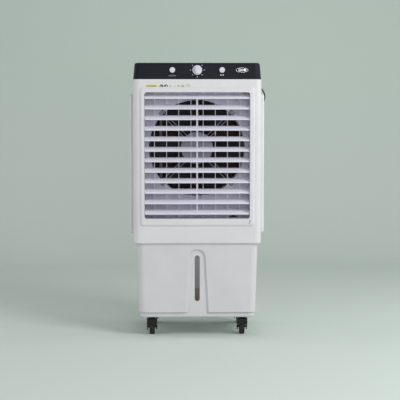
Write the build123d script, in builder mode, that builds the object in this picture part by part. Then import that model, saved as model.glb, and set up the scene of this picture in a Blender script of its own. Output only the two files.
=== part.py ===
from build123d import *

import os
from math import atan, cos, degrees, pi, radians, sin, tan

# Evaporative cooler on casters. Millimetres, +Z up, origin on the floor under the middle
# of the body. +X is to the right of someone facing the air outlet, which looks along -Y.

os.makedirs("parts", exist_ok=True)

# ---- driving dimensions -------------------------------------------------------------
clearance = 1.0
running_fit = 0.05

# Body shell
body_width = 512.0
body_depth = 380.0
body_corner = 26.0
wall = 4.0
seam_z = 378.5
cap_z = 1032.0
top_z = 1097.0
front_y = -body_depth / 2
rear_y = body_depth / 2

# Tank
tank_floor_z = 78.0
groove_z = 99.5
tank_top_z = 384.0
tank_width_low = 471.2
tank_width_high = 487.6
tank_depth = 362.0
rim_step = 8.0
tank_corner = 28.0

# Air outlet: the rim's opening, and the duct behind it
opening_width = 420.0
opening_low_z = 478.0
opening_high_z = 980.6
duct_high_z = 988.0
duct_wall = 3.0
duct_rear_y = -76.0
rim_width = 458.0
rim_low_z = 447.0
rim_high_z = 1002.0
rim_proud = 5.0

# Horizontal louvers
louver_count = 12
louver_top_z = 964.2
louver_pitch = 41.84
louver_y = -172.0
louver_chord = 40.0
louver_half = 208.5
louver_tilt = 25.0
louver_corner = 16.0
pivot_radius = 2.5
link_pin_radius = 1.5
link_pin_chord = 16.0
link_pin_drop = 8.0
link_gap = 4.2
ear_thickness = 2.5

# Vertical vanes
vane_count = 8
vane_pitch = 49.0
vane_y = -122.0
vane_chord = 44.0
vane_thickness = 2.4
vane_low_z = 494.0
vane_high_z = 984.0
vane_pin_reach = 15.0
vane_link_low_z = 486.5
vane_link_thickness = 4.0

# Fan
fan_z = 758.0
orifice_radius = 195.0
shroud_rear_y = 20.0
hub_radius = 48.0
tip_radius = 187.0
blade_count = 6
motor_radius = 56.0
motor_front_y = -79.0
motor_rear_y = -25.0
shaft_radius = 6.0

# Intake panels and pads
panel_low_z = 411.0
panel_high_z = 976.0
panel_front_y = -88.0
panel_back_y = 160.0
panel_proud = 17.0
panel_frame = 15.0
panel_skin = 3.0
rear_panel_width = 410.0
rear_panel_proud = 13.0
pad_depth = 40.0

# Casters
caster_x = 183.0
caster_y = 128.0
caster_trail = 20.0
wheel_radius = 30.0
wheel_width = 21.0
fork_width = 41.0
fork_top_z = 69.0
axle_radius = 3.0

# Controls
control_z = 1068.0
control_spacing = 98.5
knob_radius = 19.0
button_radius = 11.0

# Mains lead
cord_radius = 3.0


def louver_z(index):
    """Height of a louver's pivot, counted from the top one."""
    return louver_top_z - index * louver_pitch


def vane_x(index):
    """Place of a vane's pivot, counted from the left one."""
    return (index - (vane_count - 1) / 2) * vane_pitch


louver_heights = [louver_z(i) for i in range(louver_count)]
vane_places = [vane_x(i) for i in range(vane_count)]

# ---- housing: the big upper shell ---------------------------------------------------
opening_middle_z = (opening_low_z + opening_high_z) / 2
duct_height = duct_high_z - opening_low_z
duct_middle_z = (duct_high_z + opening_low_z) / 2
duct_outer_width = opening_width + 2 * duct_wall
duct_outer_height = duct_height + 2 * duct_wall
panel_height = panel_high_z - panel_low_z
panel_middle_z = (panel_high_z + panel_low_z) / 2
panel_depth = panel_back_y - panel_front_y
panel_middle_y = (panel_back_y + panel_front_y) / 2
pad_opening_depth = panel_depth - 2 * panel_frame - 2 * wall
pad_opening_height = panel_height - 2 * panel_frame - 2 * wall
rear_opening_width = rear_panel_width - 2 * panel_frame - 2 * wall
ledge_reach = 14.0
ledge_thickness = 4.0
gland_y = 163.0
gland_z = 1020.0
gland_bore = 6.5

with BuildPart() as housing:
    with BuildSketch(Plane.XY.offset(seam_z)):
        RectangleRounded(body_width, body_depth, body_corner)
    extrude(amount=cap_z - seam_z)
    fillet(housing.edges().group_by(Axis.Z)[0], 3.0)
    fillet(housing.edges().group_by(Axis.Z)[-1], 1.4)
    with BuildSketch(Plane.XY.offset(seam_z)):
        RectangleRounded(body_width - 2 * wall, body_depth - 2 * wall, body_corner - wall)
    extrude(amount=cap_z - seam_z, mode=Mode.SUBTRACT)
    # Ledge that rests on the tank's flange
    with BuildSketch(Plane.XY.offset(tank_top_z)):
        RectangleRounded(body_width - wall, body_depth - wall, body_corner - wall / 2)
        RectangleRounded(
            body_width - 2 * wall - 2 * ledge_reach,
            body_depth - 2 * wall - 2 * ledge_reach,
            body_corner - wall - 4,
            mode=Mode.SUBTRACT,
        )
    extrude(amount=ledge_thickness)
    # Air outlet
    with BuildSketch(Plane.XZ.offset(-front_y - 2 * wall)):
        with Locations((0, duct_middle_z)):
            RectangleRounded(duct_outer_width + clearance, duct_outer_height + clearance, 12)
    extrude(amount=4 * wall, mode=Mode.SUBTRACT)
    # Side intakes, cut right across
    with BuildSketch(Plane.YZ.offset(-body_width)):
        with Locations((panel_middle_y, panel_middle_z)):
            RectangleRounded(pad_opening_depth, pad_opening_height, 8)
    extrude(amount=2 * body_width, mode=Mode.SUBTRACT)
    # Rear intake
    with BuildSketch(Plane.XZ.offset(-rear_y - 2 * wall)):
        with Locations((0, panel_middle_z)):
            RectangleRounded(rear_opening_width, pad_opening_height, 8)
    extrude(amount=4 * wall, mode=Mode.SUBTRACT)
    # Bore for the mains lead's strain relief
    with BuildSketch(Plane.YZ.offset(body_width / 2 - 2 * wall)):
        with Locations((gland_y, gland_z)):
            Circle(gland_bore)
    extrude(amount=4 * wall, mode=Mode.SUBTRACT)
housing.part.label = "housing"
export_step(housing.part, "parts/housing.step")

# ---- grille frame: raised rim, with the duct that carries the louvers and vanes ------
rim_height = rim_high_z - rim_low_z
rim_middle_z = (rim_high_z + rim_low_z) / 2
crank_x = 3 * vane_pitch
crank_y = vane_y + vane_pin_reach
crank_shaft_radius = 3.0

with BuildPart() as grille_frame:
    with BuildSketch(Plane.XZ.offset(-front_y)):
        with Locations((0, rim_middle_z)):
            RectangleRounded(rim_width, rim_height, 15)
    extrude(amount=rim_proud)
    chamfer(grille_frame.faces().sort_by(Axis.Y)[0].edges(), 4.5, 7.5)
    with BuildSketch(Plane.XZ.offset(-duct_rear_y)):
        with Locations((0, duct_middle_z)):
            RectangleRounded(duct_outer_width, duct_outer_height, 11)
    extrude(amount=duct_rear_y - front_y)
    with BuildSketch(Plane.XZ.offset(-duct_rear_y)):
        with Locations((0, duct_middle_z)):
            RectangleRounded(opening_width, duct_height, 8)
    extrude(amount=duct_rear_y - front_y, mode=Mode.SUBTRACT)
    with BuildSketch(Plane.XZ.offset(-front_y)):
        with Locations((0, opening_middle_z)):
            RectangleRounded(opening_width, opening_high_z - opening_low_z, 10)
    extrude(amount=rim_proud, mode=Mode.SUBTRACT)
    # Louver pivot holes through both cheeks
    with BuildSketch(Plane.YZ.offset(-duct_outer_width / 2)):
        with Locations([(louver_y, z) for z in louver_heights]):
            Circle(pivot_radius + running_fit)
    extrude(amount=duct_outer_width, mode=Mode.SUBTRACT)
    # Vane pivot holes through floor and ceiling
    with BuildSketch(Plane.XY.offset(opening_low_z - duct_wall)):
        with Locations([(x, vane_y) for x in vane_places]):
            Circle(pivot_radius + running_fit)
    extrude(amount=duct_outer_height, mode=Mode.SUBTRACT)
    # Passage for the swing crank's shaft
    with BuildSketch(Plane.XY.offset(opening_low_z - duct_wall)):
        with Locations((crank_x, crank_y)):
            Circle(crank_shaft_radius + 0.5)
    extrude(amount=duct_wall, mode=Mode.SUBTRACT)
grille_frame.part.label = "grille_frame"
export_step(grille_frame.part, "parts/grille_frame.step")

# ---- louvers: twelve tilting slats, joined by one upright link -----------------------
tilt = radians(louver_tilt)
chord_dir = (0, cos(tilt), sin(tilt))
normal_dir = (0, -sin(tilt), cos(tilt))
louver_face = Plane(origin=(0, 0, 0), x_dir=(1, 0, 0), z_dir=normal_dir)
half_chord = louver_chord / 2
nose_radius = 2.5
blade_thickness = 2.4
stub_length = 12.0
notch_front = 7.5


def louver_section(x):
    """Plane across a louver at x: local x runs back along the chord, local y is up."""
    return Plane(origin=(x, 0, 0), x_dir=chord_dir, z_dir=(1, 0, 0))


with BuildPart() as louver_blank:
    with BuildSketch(louver_section(-louver_half)):
        with BuildLine():
            Line((-half_chord + nose_radius, -nose_radius), (-half_chord + 5.5, -0.4))
            ThreePointArc((-half_chord + 5.5, -0.4), (3, 0.9), (half_chord - 0.6, -0.6))
            ThreePointArc(
                (half_chord - 0.6, -0.6), (half_chord, 0.0), (half_chord - 0.6, 0.6)
            )
            ThreePointArc(
                (half_chord - 0.6, 0.6),
                (1, blade_thickness + 0.6),
                (-half_chord + nose_radius, nose_radius),
            )
            ThreePointArc(
                (-half_chord + nose_radius, nose_radius),
                (-half_chord, 0),
                (-half_chord + nose_radius, -nose_radius),
            )
        make_face()
    extrude(amount=2 * louver_half)
    # Plan outline, with the rear corners well rounded
    with BuildSketch(louver_face) as louver_plan:
        Rectangle(2 * louver_half, louver_chord)
        fillet(louver_plan.vertices().group_by(Axis.Y)[-1], louver_corner)
    extrude(amount=2 * nose_radius, both=True, mode=Mode.INTERSECT)
    # Notch for the link, and the ears with the pin that it rides on
    with BuildSketch(louver_face):
        with Locations((0, (half_chord + notch_front) / 2 + 1)):
            Rectangle(2 * link_gap, half_chord - notch_front + 2)
    extrude(amount=2 * nose_radius, both=True, mode=Mode.SUBTRACT)
    for side in (-link_gap - ear_thickness, link_gap):
        with BuildSketch(louver_section(side)):
            with Locations((link_pin_chord, -link_pin_drop)):
                Circle(4)
            Polygon(
                (notch_front + 1, 1),
                (link_pin_chord - 4, -link_pin_drop),
                (link_pin_chord + 4, -link_pin_drop),
                (half_chord - 1, 0.5),
                align=None,
            )
        extrude(amount=ear_thickness)
    with BuildSketch(louver_section(-link_gap - 1)):
        with Locations((link_pin_chord, -link_pin_drop)):
            Circle(link_pin_radius)
    extrude(amount=2 * link_gap + 2)
    # Pivot stubs
    for side in (-1, 1):
        with BuildSketch(louver_section(side * (louver_half - stub_length / 2))):
            Circle(pivot_radius)
        extrude(amount=side * stub_length)

tab_x = 181.0
for i, z in enumerate(louver_heights):
    with BuildPart() as louver:
        with Locations((0, louver_y, z)):
            add(louver_blank.part)
        if i == louver_count - 1:
            # Thumb tab on the lowest one
            tab_plane = Plane(
                origin=(tab_x, louver_y, z), x_dir=(1, 0, 0), z_dir=normal_dir
            )
            with BuildSketch(tab_plane.offset(1.2)):
                with Locations((0, -half_chord + 7)):
                    SlotOverall(22, 6)
            extrude(amount=2.6)
    louver.part.label = f"louver_{i + 1:02d}"
    export_step(louver.part, f"parts/louver_{i + 1:02d}.step")

# Upright link bar, hung on every louver's pin
link_pin_y = louver_y + link_pin_chord * cos(tilt) + link_pin_drop * sin(tilt)
link_pin_rise = link_pin_chord * sin(tilt) - link_pin_drop * cos(tilt)
link_bar_width = 7.0
link_bar_depth = 6.0
link_heights = [z + link_pin_rise for z in louver_heights]
link_length = link_heights[0] - link_heights[-1] + 10

with BuildPart() as louver_link:
    with BuildSketch(Plane.YZ.offset(-link_bar_width / 2)):
        with Locations((link_pin_y, (link_heights[0] + link_heights[-1]) / 2)):
            SlotOverall(link_length, link_bar_depth, rotation=90)
        with Locations([(link_pin_y, z) for z in link_heights]):
            Circle(link_pin_radius + 0.1, mode=Mode.SUBTRACT)
    extrude(amount=link_bar_width)
louver_link.part.label = "louver_link"
export_step(louver_link.part, "parts/louver_link.step")

# ---- vanes: eight upright slats behind the louvers, swung by a motor ------------------
vane_stub_low_z = opening_low_z - duct_wall
vane_stub_high_z = duct_high_z + duct_wall

for i, x in enumerate(vane_places):
    with BuildPart() as vane:
        with BuildSketch(Plane.XY.offset(vane_low_z)):
            with Locations((x, vane_y)):
                SlotOverall(vane_chord, vane_thickness, rotation=90)
        extrude(amount=vane_high_z - vane_low_z)
        with BuildSketch(Plane.XY.offset(vane_stub_low_z)):
            with Locations((x, vane_y)):
                Circle(pivot_radius)
        extrude(amount=vane_low_z - vane_stub_low_z + 6)
        with BuildSketch(Plane.XY.offset(vane_high_z - 6)):
            with Locations((x, vane_y)):
                Circle(pivot_radius)
        extrude(amount=vane_stub_high_z - vane_high_z + 6)
        with BuildSketch(Plane.XY.offset(vane_link_low_z)):
            with Locations((x, vane_y + vane_pin_reach)):
                Circle(link_pin_radius)
        extrude(amount=vane_low_z - vane_link_low_z + 6)
    vane.part.label = f"vane_{i + 1}"
    export_step(vane.part, f"parts/vane_{i + 1}.step")

with BuildPart() as vane_link:
    with BuildSketch(Plane.XY.offset(vane_link_low_z)):
        with Locations((0, vane_y + vane_pin_reach)):
            SlotOverall(vane_places[-1] - vane_places[0] + 12, 7)
        with Locations([(x, vane_y + vane_pin_reach) for x in vane_places]):
            Circle(link_pin_radius + 0.1, mode=Mode.SUBTRACT)
    extrude(amount=vane_link_thickness)
vane_link.part.label = "vane_link"
export_step(vane_link.part, "parts/vane_link.step")

# Swing motor under the duct floor, and the crank disc on its shaft
crank_disc_low_z = opening_low_z + 1
crank_disc_thickness = 4.0
crank_pin_reach = 9.2
swing_motor_radius = 25.0
swing_motor_height = 22.0
swing_motor_top_z = opening_low_z - duct_wall
shaft_engagement = 8.0

with BuildPart() as swing_motor:
    with BuildSketch(Plane.XY.offset(swing_motor_top_z - swing_motor_height)):
        with Locations((crank_x, crank_y)):
            Circle(swing_motor_radius)
    extrude(amount=swing_motor_height - 3)
    fillet(swing_motor.edges().group_by(Axis.Z)[0], 2)
    with BuildSketch(Plane.XY.offset(swing_motor_top_z - 3)):
        with Locations((crank_x, crank_y)):
            SlotOverall(70, 16)
            Circle(swing_motor_radius)
        with Locations((crank_x - 30, crank_y), (crank_x + 30, crank_y)):
            Circle(2, mode=Mode.SUBTRACT)
    extrude(amount=3)
    with BuildSketch(Plane.XY.offset(swing_motor_top_z)):
        with Locations((crank_x, crank_y)):
            Circle(crank_shaft_radius + running_fit)
    extrude(amount=-shaft_engagement, mode=Mode.SUBTRACT)
swing_motor.part.label = "swing_motor"
export_step(swing_motor.part, "parts/swing_motor.step")

with BuildPart() as swing_crank:
    with BuildSketch(Plane.XY.offset(crank_disc_low_z)):
        with Locations((crank_x, crank_y)):
            Circle(14)
    extrude(amount=crank_disc_thickness)
    chamfer(swing_crank.edges().group_by(Axis.Z)[-1], 0.8)
    with BuildSketch(Plane.XY.offset(crank_disc_low_z + 1)):
        with Locations((crank_x, crank_y + crank_pin_reach)):
            Circle(2)
    extrude(amount=vane_link_low_z - crank_disc_low_z - 1.6)
    with BuildSketch(Plane.XY.offset(swing_motor_top_z - shaft_engagement + 0.5)):
        with Locations((crank_x, crank_y)):
            Circle(crank_shaft_radius)
    extrude(amount=crank_disc_low_z - swing_motor_top_z + shaft_engagement)
swing_crank.part.label = "swing_crank"
export_step(swing_crank.part, "parts/swing_crank.step")

# ---- top cover, knob, push buttons and the switches behind them ----------------------
cover_width_low = 508.8
cover_width_high = 497.4
cover_depth_low = 378.0
cover_depth_high = 366.6
cover_skin = 3.0
cover_lean = atan((cover_depth_low - cover_depth_high) / 2 / (top_z - cap_z))
control_y = -cover_depth_low / 2 + (control_z - cap_z) * tan(cover_lean)


def control_plane(x):
    """Plane on the leaning front of the cover, facing out of it."""
    return Plane(
        origin=(x, control_y, control_z),
        x_dir=(1, 0, 0),
        z_dir=(0, -cos(cover_lean), sin(cover_lean)),
    )


button_stem_radius = 6.0
knob_shaft_radius = 3.0

with BuildPart() as top_cover:
    with BuildSketch(Plane.XY.offset(cap_z)):
        RectangleRounded(cover_width_low, cover_depth_low, body_corner - 2)
    with BuildSketch(Plane.XY.offset(top_z)):
        RectangleRounded(cover_width_high, cover_depth_high, body_corner - 4)
    loft()
    fillet(top_cover.edges().group_by(Axis.Z)[-1], 8)
    with BuildSketch(Plane.XY.offset(cap_z)):
        RectangleRounded(
            cover_width_low - 2 * cover_skin, cover_depth_low - 2 * cover_skin, body_corner - 5
        )
    with BuildSketch(Plane.XY.offset(top_z - cover_skin)):
        RectangleRounded(
            cover_width_high - 2 * cover_skin - 2,
            cover_depth_high - 2 * cover_skin - 2,
            body_corner - 10,
        )
    loft(mode=Mode.SUBTRACT)
    # Raised bezel round each push button
    for x in (-control_spacing, control_spacing):
        with BuildSketch(control_plane(x)):
            Circle(button_radius + 2.5)
        extrude(amount=1.6)
        with BuildSketch(control_plane(x)):
            Circle(button_radius + 0.5)
        extrude(amount=1.6, mode=Mode.SUBTRACT)
        with BuildSketch(control_plane(x)):
            Circle(button_stem_radius + 0.5)
        extrude(amount=8, both=True, mode=Mode.SUBTRACT)
    with BuildSketch(control_plane(0)):
        Circle(knob_shaft_radius + 0.5)
    extrude(amount=8, both=True, mode=Mode.SUBTRACT)
top_cover.part.label = "top_cover"
export_step(top_cover.part, "parts/top_cover.step")

knob_gap = 0.6
knob_skirt = 3.0
knob_height = 15.4
with BuildPart() as speed_knob:
    with BuildSketch(control_plane(0).offset(knob_gap)):
        Circle(knob_radius)
    extrude(amount=knob_skirt)
    with BuildSketch(control_plane(0).offset(knob_gap + knob_skirt)):
        Circle(knob_radius - 1.5)
    extrude(amount=knob_height - knob_skirt, taper=5)
    fillet(speed_knob.faces().sort_by(Axis.Y)[0].edges(), 2)
    # Finger hollows either side of the pointer ridge
    for side in (-1, 1):
        with BuildSketch(control_plane(0).offset(knob_gap + knob_skirt + 1)):
            with Locations((side * (knob_radius - 4.5), 0)):
                SlotOverall(2.2 * knob_radius, 15, rotation=90)
        extrude(amount=knob_height, mode=Mode.SUBTRACT)
    with BuildSketch(control_plane(0).offset(knob_gap)):
        Circle(knob_shaft_radius)
    extrude(amount=-14)
speed_knob.part.label = "speed_knob"
export_step(speed_knob.part, "parts/speed_knob.step")

button_proud = 6.5
button_back = 3.4
for name, x in (("left_button", -control_spacing), ("right_button", control_spacing)):
    with BuildPart() as button:
        with BuildSketch(control_plane(x).offset(button_back)):
            Circle(button_radius)
        extrude(amount=button_proud - button_back)
        fillet(button.faces().sort_by(Axis.Y)[0].edges(), 1.2)
        with BuildSketch(control_plane(x).offset(button_back)):
            Circle(button_stem_radius)
        extrude(amount=-14)
    button.part.label = name
    export_step(button.part, f"parts/{name}.step")

# Rotary switch and two push switches, fixed behind the cover's front
switch_front = -5.5
with BuildPart() as switch_block:
    with BuildSketch(control_plane(0).offset(switch_front)):
        RectangleRounded(44, 40, 3)
        Circle(knob_shaft_radius + running_fit, mode=Mode.SUBTRACT)
    extrude(amount=-26)
    for x in (-control_spacing, control_spacing):
        with BuildSketch(control_plane(x).offset(switch_front)):
            Circle(10)
            Circle(button_stem_radius + running_fit, mode=Mode.SUBTRACT)
        extrude(amount=-24)
switch_block.part.label = "switch_block"
export_step(switch_block.part, "parts/switch_block.step")

# ---- fan: orifice panel with its shroud, wire bracket, motor and impeller -------------
bulkhead_width = 500.0
bulkhead_low_z = 460.0
bulkhead_high_z = 1008.0
bulkhead_thickness = 3.0
shroud_wall = 3.0
fan_plane = Plane(origin=(0, 0, fan_z), x_dir=(1, 0, 0), z_dir=(0, -1, 0))

with BuildPart() as orifice_panel:
    with BuildSketch(Plane.XZ.offset(-duct_rear_y - bulkhead_thickness)):
        with Locations((0, (bulkhead_low_z + bulkhead_high_z) / 2)):
            Rectangle(bulkhead_width, bulkhead_high_z - bulkhead_low_z)
    extrude(amount=bulkhead_thickness)
    with BuildSketch(fan_plane.offset(-shroud_rear_y)):
        Circle(orifice_radius + shroud_wall)
    extrude(amount=shroud_rear_y - duct_rear_y - bulkhead_thickness)
    with BuildSketch(fan_plane.offset(-shroud_rear_y)):
        Circle(orifice_radius)
    extrude(amount=shroud_rear_y - duct_rear_y, mode=Mode.SUBTRACT)
orifice_panel.part.label = "orifice_panel"
export_step(orifice_panel.part, "parts/orifice_panel.step")

# Four arms, each a pair of rods, from the motor's face plate to the orifice's edge
bracket_plate_radius = 65.0
bracket_plate_thickness = 3.0
rod_radius = 1.8
rod_spacing = 13.0
rod_start = bracket_plate_radius - 5
rod_end = 207.0
foot_thickness = 2.5
bracket_y = duct_rear_y - foot_thickness
motor_screw_reach = 44.0
motor_screw_radius = 2.6
arm_angles = [45, 135, 225, 315]

with BuildPart() as motor_bracket:
    for angle in arm_angles:
        across = Plane(
            origin=(0, bracket_y - bracket_plate_thickness / 2, fan_z),
            x_dir=(sin(radians(angle)), 0, -cos(radians(angle))),
            z_dir=(cos(radians(angle)), 0, sin(radians(angle))),
        )
        with BuildSketch(across.offset(rod_start)):
            with Locations((-rod_spacing / 2, 0), (rod_spacing / 2, 0)):
                Circle(rod_radius)
        extrude(amount=rod_end - rod_start)
    # Feet that sit on the orifice panel
    with BuildSketch(fan_plane.offset(-duct_rear_y)):
        with PolarLocations(rod_end - 4, 4, start_angle=45):
            RectangleRounded(15, 26, 3)
    extrude(amount=foot_thickness)
    # Face plate in front of the motor
    with BuildSketch(fan_plane.offset(-bracket_y)):
        Circle(bracket_plate_radius)
        with PolarLocations(motor_screw_reach, 4):
            Circle(motor_screw_radius, mode=Mode.SUBTRACT)
    extrude(amount=bracket_plate_thickness)
motor_bracket.part.label = "motor_bracket"
export_step(motor_bracket.part, "parts/motor_bracket.step")

fin_count = 24
with BuildPart() as fan_motor:
    with BuildSketch(fan_plane.offset(-bracket_y)):
        Circle(motor_radius)
    extrude(amount=bracket_y - motor_rear_y)
    fillet(fan_motor.edges().group_by(Axis.Y)[-1], 5)
    # Cooling fins round the case
    with BuildSketch(fan_plane.offset(-motor_rear_y + 6)):
        with PolarLocations(motor_radius, fin_count):
            Rectangle(5, 2)
    extrude(amount=motor_rear_y - bracket_y - 14)
    with BuildSketch(fan_plane.offset(-motor_rear_y)):
        Circle(shaft_radius + running_fit)
    extrude(amount=25, mode=Mode.SUBTRACT)
fan_motor.part.label = "fan_motor"
export_step(fan_motor.part, "parts/fan_motor.step")

# Impeller: hub with its shaft, and twisted blades
hub_front_y = -21.0
hub_rear_y = 19.0
blade_sections = (
    (hub_radius - 6, 60.0, 38.0),
    ((hub_radius + tip_radius) / 2, 92.0, 26.0),
    (tip_radius, 112.0, 19.0),
)
with BuildPart() as blade:
    for radius, chord, pitch in blade_sections:
        section = Plane(
            origin=(radius, 0, fan_z),
            x_dir=(0, sin(radians(pitch)), cos(radians(pitch))),
            z_dir=(1, 0, 0),
        )
        with BuildSketch(section):
            SlotOverall(chord, 2.6)
    loft()

with BuildPart() as fan_impeller:
    with BuildSketch(fan_plane.offset(-hub_rear_y)):
        Circle(hub_radius)
    extrude(amount=hub_rear_y - hub_front_y)
    fillet(fan_impeller.edges().group_by(Axis.Y)[-1], 6)
    fan_axis = Axis((0, 0, fan_z), (0, 1, 0))
    for i in range(blade_count):
        add(blade.part.rotate(fan_axis, i * 360 / blade_count))
    with BuildSketch(fan_plane.offset(-hub_front_y)):
        Circle(shaft_radius)
    extrude(amount=20)
fan_impeller.part.label = "fan_impeller"
export_step(fan_impeller.part, "parts/fan_impeller.step")

# ---- intake panels with their slots, and the wet pads behind them ---------------------
slot_height = 11.0
slot_rows = 24
slot_pitch = (panel_height - 2 * panel_frame - slot_height - 6) / (slot_rows - 1)
side_slot_length = (panel_depth - 2 * panel_frame - 18) / 2
rear_slot_length = (rear_panel_width - 2 * panel_frame - 24) / 3

for name, side in (("left_panel", -1), ("right_panel", 1)):
    with BuildPart() as panel:
        with BuildSketch(Plane.YZ.offset(side * body_width / 2)):
            with Locations((panel_middle_y, panel_middle_z)):
                RectangleRounded(panel_depth, panel_height, 10)
        extrude(amount=side * panel_proud)
        chamfer(panel.faces().sort_by(Axis.X)[0 if side < 0 else -1].edges(), 5)
        with BuildSketch(Plane.YZ.offset(side * body_width / 2)):
            with Locations((panel_middle_y, panel_middle_z)):
                RectangleRounded(
                    panel_depth - 2 * panel_frame, panel_height - 2 * panel_frame, 6
                )
        extrude(amount=side * (panel_proud - panel_skin), mode=Mode.SUBTRACT)
        with BuildSketch(Plane.YZ.offset(side * body_width / 2)):
            with Locations((panel_middle_y, panel_middle_z)):
                with GridLocations(side_slot_length + 8, slot_pitch, 2, slot_rows):
                    SlotOverall(side_slot_length, slot_height)
        extrude(amount=side * panel_proud, mode=Mode.SUBTRACT)
    panel.part.label = name
    export_step(panel.part, f"parts/{name}.step")

with BuildPart() as rear_panel:
    with BuildSketch(Plane.XZ.offset(-rear_y)):
        with Locations((0, panel_middle_z)):
            RectangleRounded(rear_panel_width, panel_height, 10)
    extrude(amount=-rear_panel_proud)
    chamfer(rear_panel.faces().sort_by(Axis.Y)[-1].edges(), 4)
    with BuildSketch(Plane.XZ.offset(-rear_y)):
        with Locations((0, panel_middle_z)):
            RectangleRounded(
                rear_panel_width - 2 * panel_frame, panel_height - 2 * panel_frame, 6
            )
    extrude(amount=-(rear_panel_proud - panel_skin), mode=Mode.SUBTRACT)
    with BuildSketch(Plane.XZ.offset(-rear_y)):
        with Locations((0, panel_middle_z)):
            with GridLocations(rear_slot_length + 8, slot_pitch, 3, slot_rows):
                SlotOverall(rear_slot_length, slot_height)
    extrude(amount=-rear_panel_proud, mode=Mode.SUBTRACT)
rear_panel.part.label = "rear_panel"
export_step(rear_panel.part, "parts/rear_panel.step")

pad_height = pad_opening_height - 2 * clearance
side_pad_face = body_width / 2 + panel_proud - panel_skin - 0.5
rear_pad_face = rear_y + rear_panel_proud - panel_skin - 0.5
with BuildPart() as cooling_pads:
    for side in (-1, 1):
        with BuildSketch(Plane.YZ.offset(side * (side_pad_face - pad_depth))):
            with Locations((panel_middle_y, panel_middle_z)):
                RectangleRounded(pad_opening_depth - 2 * clearance, pad_height, 8)
        extrude(amount=side * pad_depth)
    with BuildSketch(Plane.XZ.offset(-rear_pad_face)):
        with Locations((0, panel_middle_z)):
            RectangleRounded(rear_opening_width - 2 * clearance, pad_height, 8)
    extrude(amount=pad_depth)
cooling_pads.part.label = "cooling_pads"
export_step(cooling_pads.part, "parts/cooling_pads.step")

# ---- water: manifold over the pads with its riser, pump, valve and float ---------------
manifold_radius = 8.0
manifold_z = 994.0
manifold_x = body_width / 2 - wall - 12
manifold_rear_y = rear_y - wall - 12
riser_radius = 7.0
riser_x = -150.0
riser_y = 132.0
pump_top_z = 170.0
pump_low_z = tank_floor_z + 4

with BuildPart() as water_manifold:
    with BuildLine():
        FilletPolyline(
            (-manifold_x, panel_front_y + 30, manifold_z),
            (-manifold_x, manifold_rear_y, manifold_z),
            (manifold_x, manifold_rear_y, manifold_z),
            (manifold_x, panel_front_y + 30, manifold_z),
            radius=26,
        )
    with BuildSketch(Plane.XZ.offset(-panel_front_y - 30)):
        with Locations((-manifold_x, manifold_z)):
            Circle(manifold_radius)
    sweep()
    with BuildLine():
        FilletPolyline(
            (riser_x, riser_y, pump_top_z),
            (riser_x, riser_y, manifold_z),
            (riser_x, manifold_rear_y, manifold_z),
            radius=20,
        )
    with BuildSketch(Plane.XY.offset(pump_top_z)):
        with Locations((riser_x, riser_y)):
            Circle(riser_radius)
    sweep()
water_manifold.part.label = "water_manifold"
export_step(water_manifold.part, "parts/water_manifold.step")

with BuildPart() as pump:
    with BuildSketch(Plane.XY.offset(pump_low_z)):
        with Locations((riser_x, riser_y - 10)):
            RectangleRounded(66, 58, 8)
    extrude(amount=56)
    fillet(pump.edges().group_by(Axis.Z)[-1], 4)
    with BuildSketch(Plane.XY.offset(pump_low_z + 50)):
        with Locations((riser_x, riser_y)):
            Circle(riser_radius + 2)
    extrude(amount=pump_top_z - pump_low_z - 50)
    # Inlet slits
    with BuildSketch(Plane.XZ.offset(-riser_y + 10 + 20)):
        with Locations((riser_x, pump_low_z + 18)):
            with GridLocations(8, 1, 6, 1):
                SlotOverall(24, 3, rotation=90)
    extrude(amount=20, mode=Mode.SUBTRACT)
pump.part.label = "pump"
export_step(pump.part, "parts/pump.step")

# ---- tank: raised faces over a stepped base, with an arched recess at the front --------
tank_front_y = -tank_depth / 2
base_width_low = tank_width_low - 8
base_width_high = tank_width_high - 8
base_depth = tank_depth - 2 * rim_step
groove_height = 3.5
groove_cut = 2.0
flange_thickness = 4.0
flange_width = body_width - 2 * wall - 4
flange_depth = body_depth - 2 * wall - 4
arch_top_z = 355.7
arch_radius = 34.0
arch_foot = 47.8
arch_bevel = 9.0
arch_spring_z = arch_top_z - arch_radius
window_length = 185.0
window_width = 20.0
window_z = 236.5
window_gap = 0.2
inlet_x = 170.0
inlet_z = 345.0
inlet_radius = 10.0
inlet_bore = inlet_radius + 0.2
drain_x = -60.0
drain_z = 126.0
drain_radius = 12.0
screw_radius = 2.0
plate_screw_spacing = 31.0
caster_places = [(x, y) for y in (-caster_y, caster_y) for x in (-caster_x, caster_x)]
plate_screws = [
    (x + dx, y + dy)
    for x, y in caster_places
    for dx in (-plate_screw_spacing / 2, plate_screw_spacing / 2)
    for dy in (-plate_screw_spacing / 2, plate_screw_spacing / 2)
]


def arch_outline(grow):
    """Face of the arched recess, grown all round; its foot runs below the groove."""
    foot_z = groove_z - 20
    left_foot = (-arch_foot - grow, foot_z)
    left_spring = (-arch_radius - grow, arch_spring_z)
    crown = (0, arch_top_z + grow)
    right_spring = (arch_radius + grow, arch_spring_z)
    right_foot = (arch_foot + grow, foot_z)
    with BuildLine() as outline:
        Line(left_foot, left_spring)
        ThreePointArc(left_spring, crown, right_spring)
        Line(right_spring, right_foot)
        Line(right_foot, left_foot)
    return outline.line


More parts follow.
